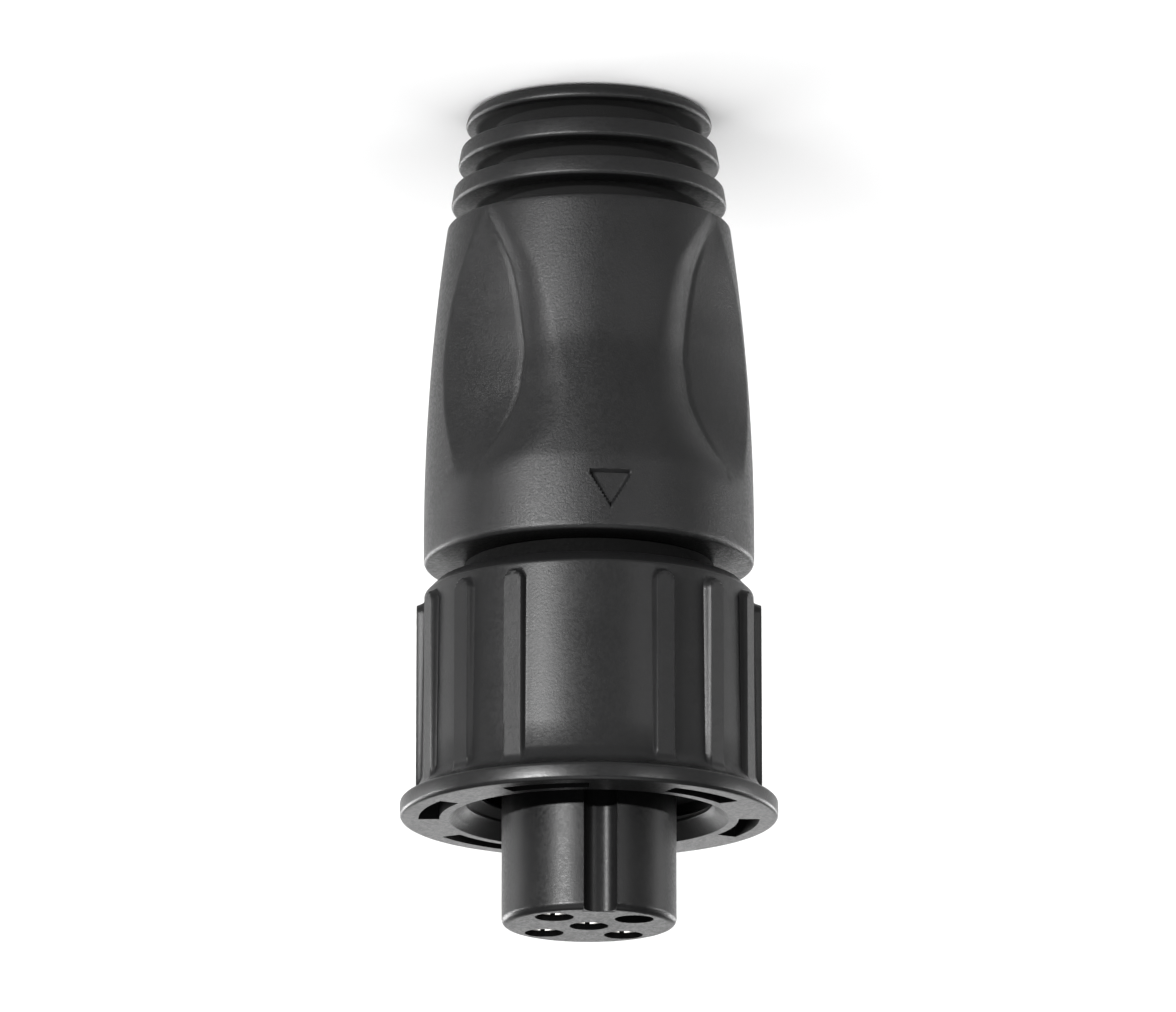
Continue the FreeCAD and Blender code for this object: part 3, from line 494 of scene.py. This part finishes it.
def waist(turn, height):
    """Depth of dish and scoops. turn is degrees from the front or back middle line."""
    shoulder, rim, edge, depth = (section_value(height, column) for column in (1, 2, 3, 4))
    middle = dish(height)
    fall = np.clip((turn - shoulder) / (rim - shoulder), 0.0, 1.0) ** SHOULDER_POWER
    inner = middle + (depth - middle) * fall
    across = np.maximum(turn - rim, 0.0) / (edge - rim)
    outer = positive(depth * (1.0 - 0.05 * across - 0.95 * across**2), SCOOP_EDGE_SOFTNESS)
    past_rim = np.radians(np.maximum(turn - rim, 0.0)) * GRIP_FRONT_RADIUS
    lip = SCOOP_LIP * smoothstep(0.0, SCOOP_LIP_WIDTH, past_rim) * smoothstep(0.1, 0.6, depth)
    outer = np.maximum(outer - lip, 0.0) * smoothstep(0.0, 0.12, depth)
    return np.where(turn < rim, inner, outer)


def mark(across, height):
    """Depth of the sunk triangle. across is millimetres from the front middle line."""
    slope = math.atan2(MARK_WIDTH / 2, MARK_HEIGHT)
    to_side = ((MARK_TIP - height) * math.sin(slope) - np.abs(across) * math.cos(slope))
    to_base = height - (MARK_TIP - MARK_HEIGHT)
    return MARK_DEPTH * smoothstep(0.0, MARK_EDGE, np.minimum(to_side, to_base))


def grip_profile():
    """Rows of the grip: offset from the side line, and height."""
    corners = [(-grip_side(0.0), 0.0), (0.0, 0.0, GRIP_REAR_ROUND, 6)]
    for index in range(GROOVE_COUNT):
        low = GROOVE_FIRST + index * GROOVE_PITCH
        high = low + GROOVE_WIDTH
        floor_low, floor_high = GROOVE_FLOOR - grip_side(low), GROOVE_FLOOR - grip_side(high)
        corners += [(0.0, low, GROOVE_REAR_ROUND, 5), (floor_low, low, 0.1, 2)]
        corners += [(floor_high, high, 0.1, 2), (0.0, high, GROOVE_FRONT_ROUND, 4)]
    corners += [(0.0, GRIP_LENGTH, GRIP_FRONT_ROUND, 5)]
    inner = [(COLLAR_RADIUS, GRIP_LENGTH), (COLLAR_RADIUS, COLLAR_REAR), (CORE_RADIUS, COLLAR_REAR)]
    for index in reversed(range(CORE_RING_COUNT)):
        low = CORE_REAR + CORE_RING_START + index * CORE_RING_PITCH
        high = low + CORE_RING_WIDTH
        inner += [(CORE_RADIUS, high), (CORE_RING_RADIUS, high)]
        inner += [(CORE_RING_RADIUS, low), (CORE_RADIUS, low)]
    inner += [(CORE_RADIUS, CORE_REAR), (0.0, CORE_REAR)]
    corners += [(radius - grip_side(height), height) for radius, height in inner]
    return round_corners(corners)


def grip_spacing(middle):
    """Longest span of the grip's profile near a point."""
    offset, height = middle
    if abs(offset) > 0.01:
        return 1.5
    if MARK_TIP - MARK_HEIGHT - 0.1 < height < MARK_TIP + 0.1:
        return 0.05
    return 0.16 if DISH_START - 0.3 < height < DISH_STOP + 0.6 else 0.4


def build_grip():
    profile = subdivide(grip_profile(), grip_spacing)
    mark_reach = math.degrees(MARK_WIDTH / 2 / GRIP_FRONT_RADIUS) + 0.8
    fine = [270.0 + step * 0.35 for step in range(-int(mark_reach / 0.35), int(mark_reach / 0.35) + 1)]
    for middle in (90.0, 270.0):
        for side in (-1, 1):
            fine += [middle + side * (15.0 + step * SCOOP_STEP) for step in range(int(65.0 / SCOOP_STEP))]
    angles = angle_steps(fine, 2.2)
    offset = profile[:, :1]
    height = np.repeat(profile[:, 1:], len(angles), axis=1)
    radius = offset + grip_side(height)
    outer = np.abs(profile[:, 0]) < GRIP_FRONT_ROUND + 0.01
    outer &= profile[:, 1] > GROOVE_FIRST + 2 * GROOVE_PITCH + GROOVE_WIDTH - 0.01
    from_front = np.degrees(angles) - 270.0
    turn = np.abs((from_front + 90.0) % 180.0 - 90.0)[None, :]
    depth = waist(turn, height)
    front = (from_front + 180.0) % 360.0 - 180.0
    depth = depth + mark(np.radians(front)[None, :] * GRIP_FRONT_RADIUS, height)
    near_groove = smoothstep(0.0, 0.25, height - (GROOVE_FIRST + 2 * GROOVE_PITCH + GROOVE_WIDTH))
    radius = np.where(outer[:, None], radius - depth * near_groove, radius)
    radius[0] = 0.0
    radius[-1] = 0.0
    mesh = turned_mesh("grip", radius, height, angles)
    return add_object("grip", mesh, "plug", grip_plastic, 50.0, "grip_overmould")


build_grip()


# Coupling nut


def nut_profile():
    """Closed outline of the nut as (radius, height), from the web's rear inner edge."""
    flare_rear = NUT_FRONT - FLANGE_RIM - FLANGE_FLARE
    flare_front = NUT_FRONT - FLANGE_RIM
    low = np.array([NUT_FRONT_RADIUS, flare_rear])
    high = np.array([FLANGE_RADIUS, flare_front])
    chord = np.linalg.norm(high - low)
    bend = chord**2 / (8 * FLARE_HOLLOW) + FLARE_HOLLOW / 2
    outward = np.array([high[1] - low[1], low[0] - high[0]]) / chord
    centre = (low + high) / 2 + outward * (bend - FLARE_HOLLOW)
    flare = []
    for step in range(1, 8):
        point = low + (high - low) * step / 8
        spoke = point - centre
        flare.append(tuple(centre + spoke / np.linalg.norm(spoke) * bend))
    rib_end = RIB_START + RIB_WIDTH
    lean = (NUT_FRONT_RADIUS - NUT_REAR_RADIUS) / (flare_rear - NUT_REAR - NUT_CHAMFER)
    rib_end_radius = NUT_REAR_RADIUS + (rib_end - NUT_REAR - NUT_CHAMFER) * lean
    corners = [
        (WEB_BORE, WEB_FRONT),
        (WEB_BORE, NUT_REAR, 0.1, 2),
        (NUT_REAR_RADIUS - NUT_CHAMFER, NUT_REAR, 0.12, 3),
        (NUT_REAR_RADIUS, NUT_REAR + NUT_CHAMFER, 0.15, 4),
        (rib_end_radius, rib_end),
        tuple(low),
        *flare,
        (FLANGE_RADIUS, flare_front, RIM_ROUND, 5),
        (FLANGE_RADIUS, NUT_FRONT, RIM_ROUND, 5),
        (MOUTH_RADIUS, NUT_FRONT, 0.08, 3),
        (MOUTH_RADIUS - MOUTH_STEP, NUT_FRONT - MOUTH_STEP, 0.05, 2),
        (NUT_BORE, NUT_FRONT - MOUTH_DEPTH, 0.05, 2),
        (NUT_BORE, WEB_FRONT, 0.1, 2),
        (WEB_BORE, WEB_FRONT),
    ]
    return round_corners(corners)


def nut_spacing(middle):
    radius, height = middle
    on_wall = radius > NUT_REAR_RADIUS - 0.02 and height < NUT_FRONT - FLANGE_RIM
    if on_wall and height < RIB_START + RIB_WIDTH:
        return 0.05
    if on_wall:
        return 1.5
    if height > NUT_FRONT - 0.01:
        return 0.045
    return 2.0


def rib_centres():
    """Azimuths of the ribs in degrees: two groups about +X and -X, turned with the nut."""
    centres = []
    for group in (0.0, 180.0):
        for index in range(RIB_COUNT):
            centres.append(NUT_TURN + group + (index - (RIB_COUNT - 1) / 2) * RIB_PITCH)
    return centres


def pocket_centres():
    return [270.0 + NUT_TURN + POCKET_TURN + index * 360.0 / POCKET_COUNT for index in range(POCKET_COUNT)]


def nearest(azimuths, centres):
    """Signed angle in degrees from the nearest of the centres."""
    gaps = (azimuths[:, None] - np.array(centres)[None, :] + 180.0) % 360.0 - 180.0
    return gaps[np.arange(len(azimuths)), np.abs(gaps).argmin(axis=1)]


RIB_SAMPLES = (0.0, 0.2, 0.38, 0.45, 0.5, 0.54, 0.575, 0.61, 0.66, 0.75)
POCKET_SAMPLES = (-0.16, -0.08, -0.03, 0.02, 0.07)


def build_nut():
    fine = []
    for centre in rib_centres():
        for sample in RIB_SAMPLES:
            gap = math.degrees(sample / RIB_RADIUS)
            fine += [centre - gap, centre + gap]
    for centre in pocket_centres():
        for sample in POCKET_SAMPLES:
            gap = POCKET_ANGLE / 2 + math.degrees(sample / POCKET_INNER)
            fine += [centre - gap, centre + gap]
    angles = angle_steps(fine, 2.0)
    azimuths = np.degrees(angles)
    profile = subdivide(nut_profile(), nut_spacing)[:-1]
    radius = np.repeat(profile[:, :1], len(angles), axis=1)
    height = np.repeat(profile[:, 1:], len(angles), axis=1)

    rib_gap = np.radians(nearest(azimuths, rib_centres()))[None, :]
    across = np.sin(rib_gap) * RIB_RADIUS
    end = RIB_START + RIB_WIDTH / 2
    edge = RIB_WIDTH / 2 - np.hypot(across, np.minimum(height - end, 0.0))
    share = smoothstep(-0.05, 0.13, edge)
    top = RIB_RADIUS / np.cos(rib_gap)
    wall = (radius > NUT_REAR_RADIUS - 0.05) & (height > RIB_START - 0.2)
    wall &= height < NUT_FRONT - FLANGE_RIM + 0.01
    lift = np.maximum(top - radius, 0.0) * share
    radius = np.where(wall, radius + lift, radius)

    pocket_gap = np.abs(nearest(azimuths, pocket_centres()))[None, :]
    along = (POCKET_ANGLE / 2 - pocket_gap) * math.pi / 180.0 * POCKET_INNER
    inside = np.minimum(radius - POCKET_INNER, POCKET_OUTER - radius)
    depth = POCKET_DEPTH * smoothstep(-0.02, 0.05, np.minimum(inside, along))
    face = height > NUT_FRONT - 0.005
    height = np.where(face, height - depth, height)
    mesh = turned_mesh("nut", radius, height, angles, closed=True)
    return add_object("nut", mesh, "nut", nut_plastic, 42.0, "coupling_nut")


def build_thread():
    """Internal thread, a helical ridge on the nut's bore that fades out at both ends."""
    root = NUT_BORE + 0.03
    section = [(root, -0.42), (THREAD_CREST + 0.07, -0.13), (THREAD_CREST, -0.06)]
    section += [(THREAD_CREST, 0.06), (THREAD_CREST + 0.07, 0.13), (root, 0.42)]
    turns = (THREAD_STOP - THREAD_START) / THREAD_PITCH
    steps = int(turns * THREAD_STEPS)
    vertices, faces = [], []
    for step in range(steps + 1):
        along = turns * step / steps
        angle = 2 * math.pi * along
        grow = min(1.0, along / 0.3, (turns - along) / 0.3)
        for radius, rise in section:
            reach = root + (radius - root) * grow
            level = THREAD_START + along * THREAD_PITCH + rise * max(grow, 0.05)
            vertices.append(Vector((reach * math.cos(angle), reach * math.sin(angle), level)) * MM)
    size = len(section)
    for step in range(steps):
        low, high = step * size, (step + 1) * size
        for index in range(size):
            after = (index + 1) % size
            faces.append([low + index, low + after, high + after, high + index])
    faces.append(list(reversed(range(size))))
    faces.append([steps * size + index for index in range(size)])
    mesh = bpy.data.meshes.new("coupling_thread")
    mesh.from_pydata(vertices, [], faces)
    for polygon in mesh.polygons:
        polygon.use_smooth = True
    return add_object("coupling_thread", mesh, "nut", nut_plastic, 35.0)


build_nut()
build_thread()


# Insert


def insert_skin(level):
    """Radius of the insert's side at a height, smaller on its rounded edge."""
    into_round = max(0.0, level - (INSERT_FACE - INSERT_ROUND))
    return INSERT_RADIUS - INSERT_ROUND + math.sqrt(INSERT_ROUND**2 - into_round**2)


def keyway_section(skin):
    """Section of one round as (across, reach) from the plug's axis, inside a skin radius."""
    wall = KEYWAY_WIDTH / 2 + KEYWAY_OVERLAP
    section = [(wall, KEYWAY_FLOOR - KEYWAY_OVERLAP)]
    for step in range(KEYWAY_SEGMENTS + 1):
        angle = math.pi / 2 * step / KEYWAY_SEGMENTS
        across = KEYWAY_WIDTH / 2 - KEYWAY_ROUND * (1.0 - math.sin(angle))
        reach = KEYWAY_FLOOR + KEYWAY_ROUND * (1.0 - math.cos(angle))
        section.append((across, min(reach, skin - KEYWAY_OVERLAP)))
    return section + [(wall, section[-1][1])]


def build_keyway_rounds():
    """Rounds along the keyway's floor, which make it a U in section."""
    levels = [KEYWAY_START, INSERT_FACE - INSERT_ROUND]
    levels += [INSERT_FACE - INSERT_ROUND * share for share in (0.75, 0.5, 0.3, 0.15, 0.05)]
    vertices, faces = [], []
    for side in (-1, 1):
        first = len(vertices)
        for level in levels:
            section = keyway_section(insert_skin(level))
            vertices += [Vector((side * across, -reach, level)) * MM for across, reach in section]
        size = len(section)
        last = len(vertices) - size
        outlines = [list(reversed(range(first, first + size))), list(range(last, last + size))]
        for low in range(first, last, size):
            high = low + size
            for index in range(size):
                after = (index + 1) % size
                outlines.append([low + index, low + after, high + after, high + index])
        faces += outlines if side > 0 else [outline[::-1] for outline in outlines]
    mesh = bpy.data.meshes.new("keyway_rounds")
    mesh.from_pydata(vertices, [], faces)
    for polygon in mesh.polygons:
        polygon.use_smooth = True
    return add_object("keyway_rounds", mesh, "plug", insert_plastic, 40.0)


build_keyway_rounds()


# Floor, light and camera

FLOOR_SIZE = 6.0
floor_mesh = bpy.data.meshes.new("floor")
edge = FLOOR_SIZE / 2
floor_corners = [(-edge, -edge, 0.0), (edge, -edge, 0.0), (edge, edge, 0.0), (-edge, edge, 0.0)]
floor_mesh.from_pydata(floor_corners, [], [(0, 1, 2, 3)])
floor = bpy.data.objects.new("floor", floor_mesh)
bpy.context.scene.collection.objects.link(floor)
floor_paint = Graph("floor_paint")
floor_paint.set(Roughness=0.9)
floor_paint.shader.inputs["Base Color"].default_value = (0.9, 0.9, 0.9, 1.0)
floor_paint.shader.inputs["Specular IOR Level"].default_value = 0.1
floor.data.materials.append(floor_paint.material)

world = bpy.data.worlds.new("studio")
world.use_nodes = True
world.node_tree.nodes["Background"].inputs["Color"].default_value = (1.0, 1.0, 1.0, 1.0)
world.node_tree.nodes["Background"].inputs["Strength"].default_value = 0.25
bpy.context.scene.world = world

PLUG_MIDDLE = Vector((0.0, 0.0, INSERT_FACE / 2 * MM))
CAMERA_AZIMUTH = 277.5
CAMERA_ELEVATION = 13.95
LOW_LIGHT = -0.4
LOW_LIGHT_TALL = 0.02
FAR_LIGHT = 1.2


def direction(azimuth, elevation):
    """Unit vector towards an azimuth and elevation in degrees."""
    turn, rise = math.radians(azimuth), math.radians(elevation)
    return Vector((math.cos(rise) * math.cos(turn), math.cos(rise) * math.sin(turn), math.sin(rise)))


def softbox(name, left, elevation, distance, width, tall, radiance):
    """Area light aimed at the plug. left is degrees to the picture's left of the camera."""
    light = bpy.data.lights.new(name, "AREA")
    light.shape = "RECTANGLE"
    light.size = width
    light.size_y = tall
    light.energy = radiance * math.pi * width * tall
    lamp = bpy.data.objects.new(name, light)
    towards = direction(CAMERA_AZIMUTH + left, elevation)
    lamp.location = PLUG_MIDDLE + towards * distance
    lamp.rotation_euler = towards.to_track_quat("Z", "Y").to_euler()
    bpy.context.scene.collection.objects.link(lamp)
    return lamp


# The four low lights lie under the level of the flange and the mating face, which would
# mirror them when they are seen from the other side
softbox("key_softbox", 33.0, LOW_LIGHT, FAR_LIGHT, 0.26, LOW_LIGHT_TALL, 3600.0)
softbox("fill_softbox", -38.0, LOW_LIGHT, FAR_LIGHT, 0.16, LOW_LIGHT_TALL, 700.0)
softbox("left_side_softbox", 110.0, LOW_LIGHT, FAR_LIGHT, 0.3, LOW_LIGHT_TALL, 400.0)
softbox("right_side_softbox", -104.0, LOW_LIGHT, FAR_LIGHT, 0.3, LOW_LIGHT_TALL, 400.0)
softbox("left_back_softbox", 138.0, 9.0, 0.7, 0.4, 0.22, 14.0)
softbox("right_back_softbox", -138.0, 9.0, 0.7, 0.4, 0.22, 11.0)
softbox("top_softbox", 10.0, 66.0, 0.9, 1.1, 1.1, 2.6)
softbox("back_softbox", 180.0, 14.0, 0.8, 0.5, 0.3, 2.0)

# The picture's frame, from the photograph's own size and the scale measured in it
PICTURE_WIDTH_PX = 1176
PIXELS_PER_MM = 20.41
CAMERA_DISTANCE = 0.4694
TARGET_HEIGHT = 19.92
AXIS_OFFSET_PX = 1.0

camera_data = bpy.data.cameras.new("camera")
camera = bpy.data.objects.new("camera", camera_data)
bpy.context.scene.collection.objects.link(camera)
bpy.context.scene.camera = camera
camera_data.sensor_fit = "HORIZONTAL"
camera_data.sensor_width = 36.0
picture_width = PICTURE_WIDTH_PX / PIXELS_PER_MM * MM
camera_data.lens = camera_data.sensor_width * CAMERA_DISTANCE / picture_width
camera_data.clip_start = 0.01
camera_data.clip_end = 20.0
backward = direction(CAMERA_AZIMUTH, CAMERA_ELEVATION)
upright = direction(CAMERA_AZIMUTH, CAMERA_ELEVATION + 90.0)
picture_up = -upright
picture_right = picture_up.cross(backward)
target = Vector((0.0, 0.0, TARGET_HEIGHT * MM)) - picture_right * (AXIS_OFFSET_PX / PIXELS_PER_MM * MM)
turn = Matrix((picture_right, picture_up, backward)).transposed()
camera.matrix_world = Matrix.Translation(target + backward * CAMERA_DISTANCE) @ turn.to_4x4()

bpy.context.scene.view_settings.view_transform = "Standard"
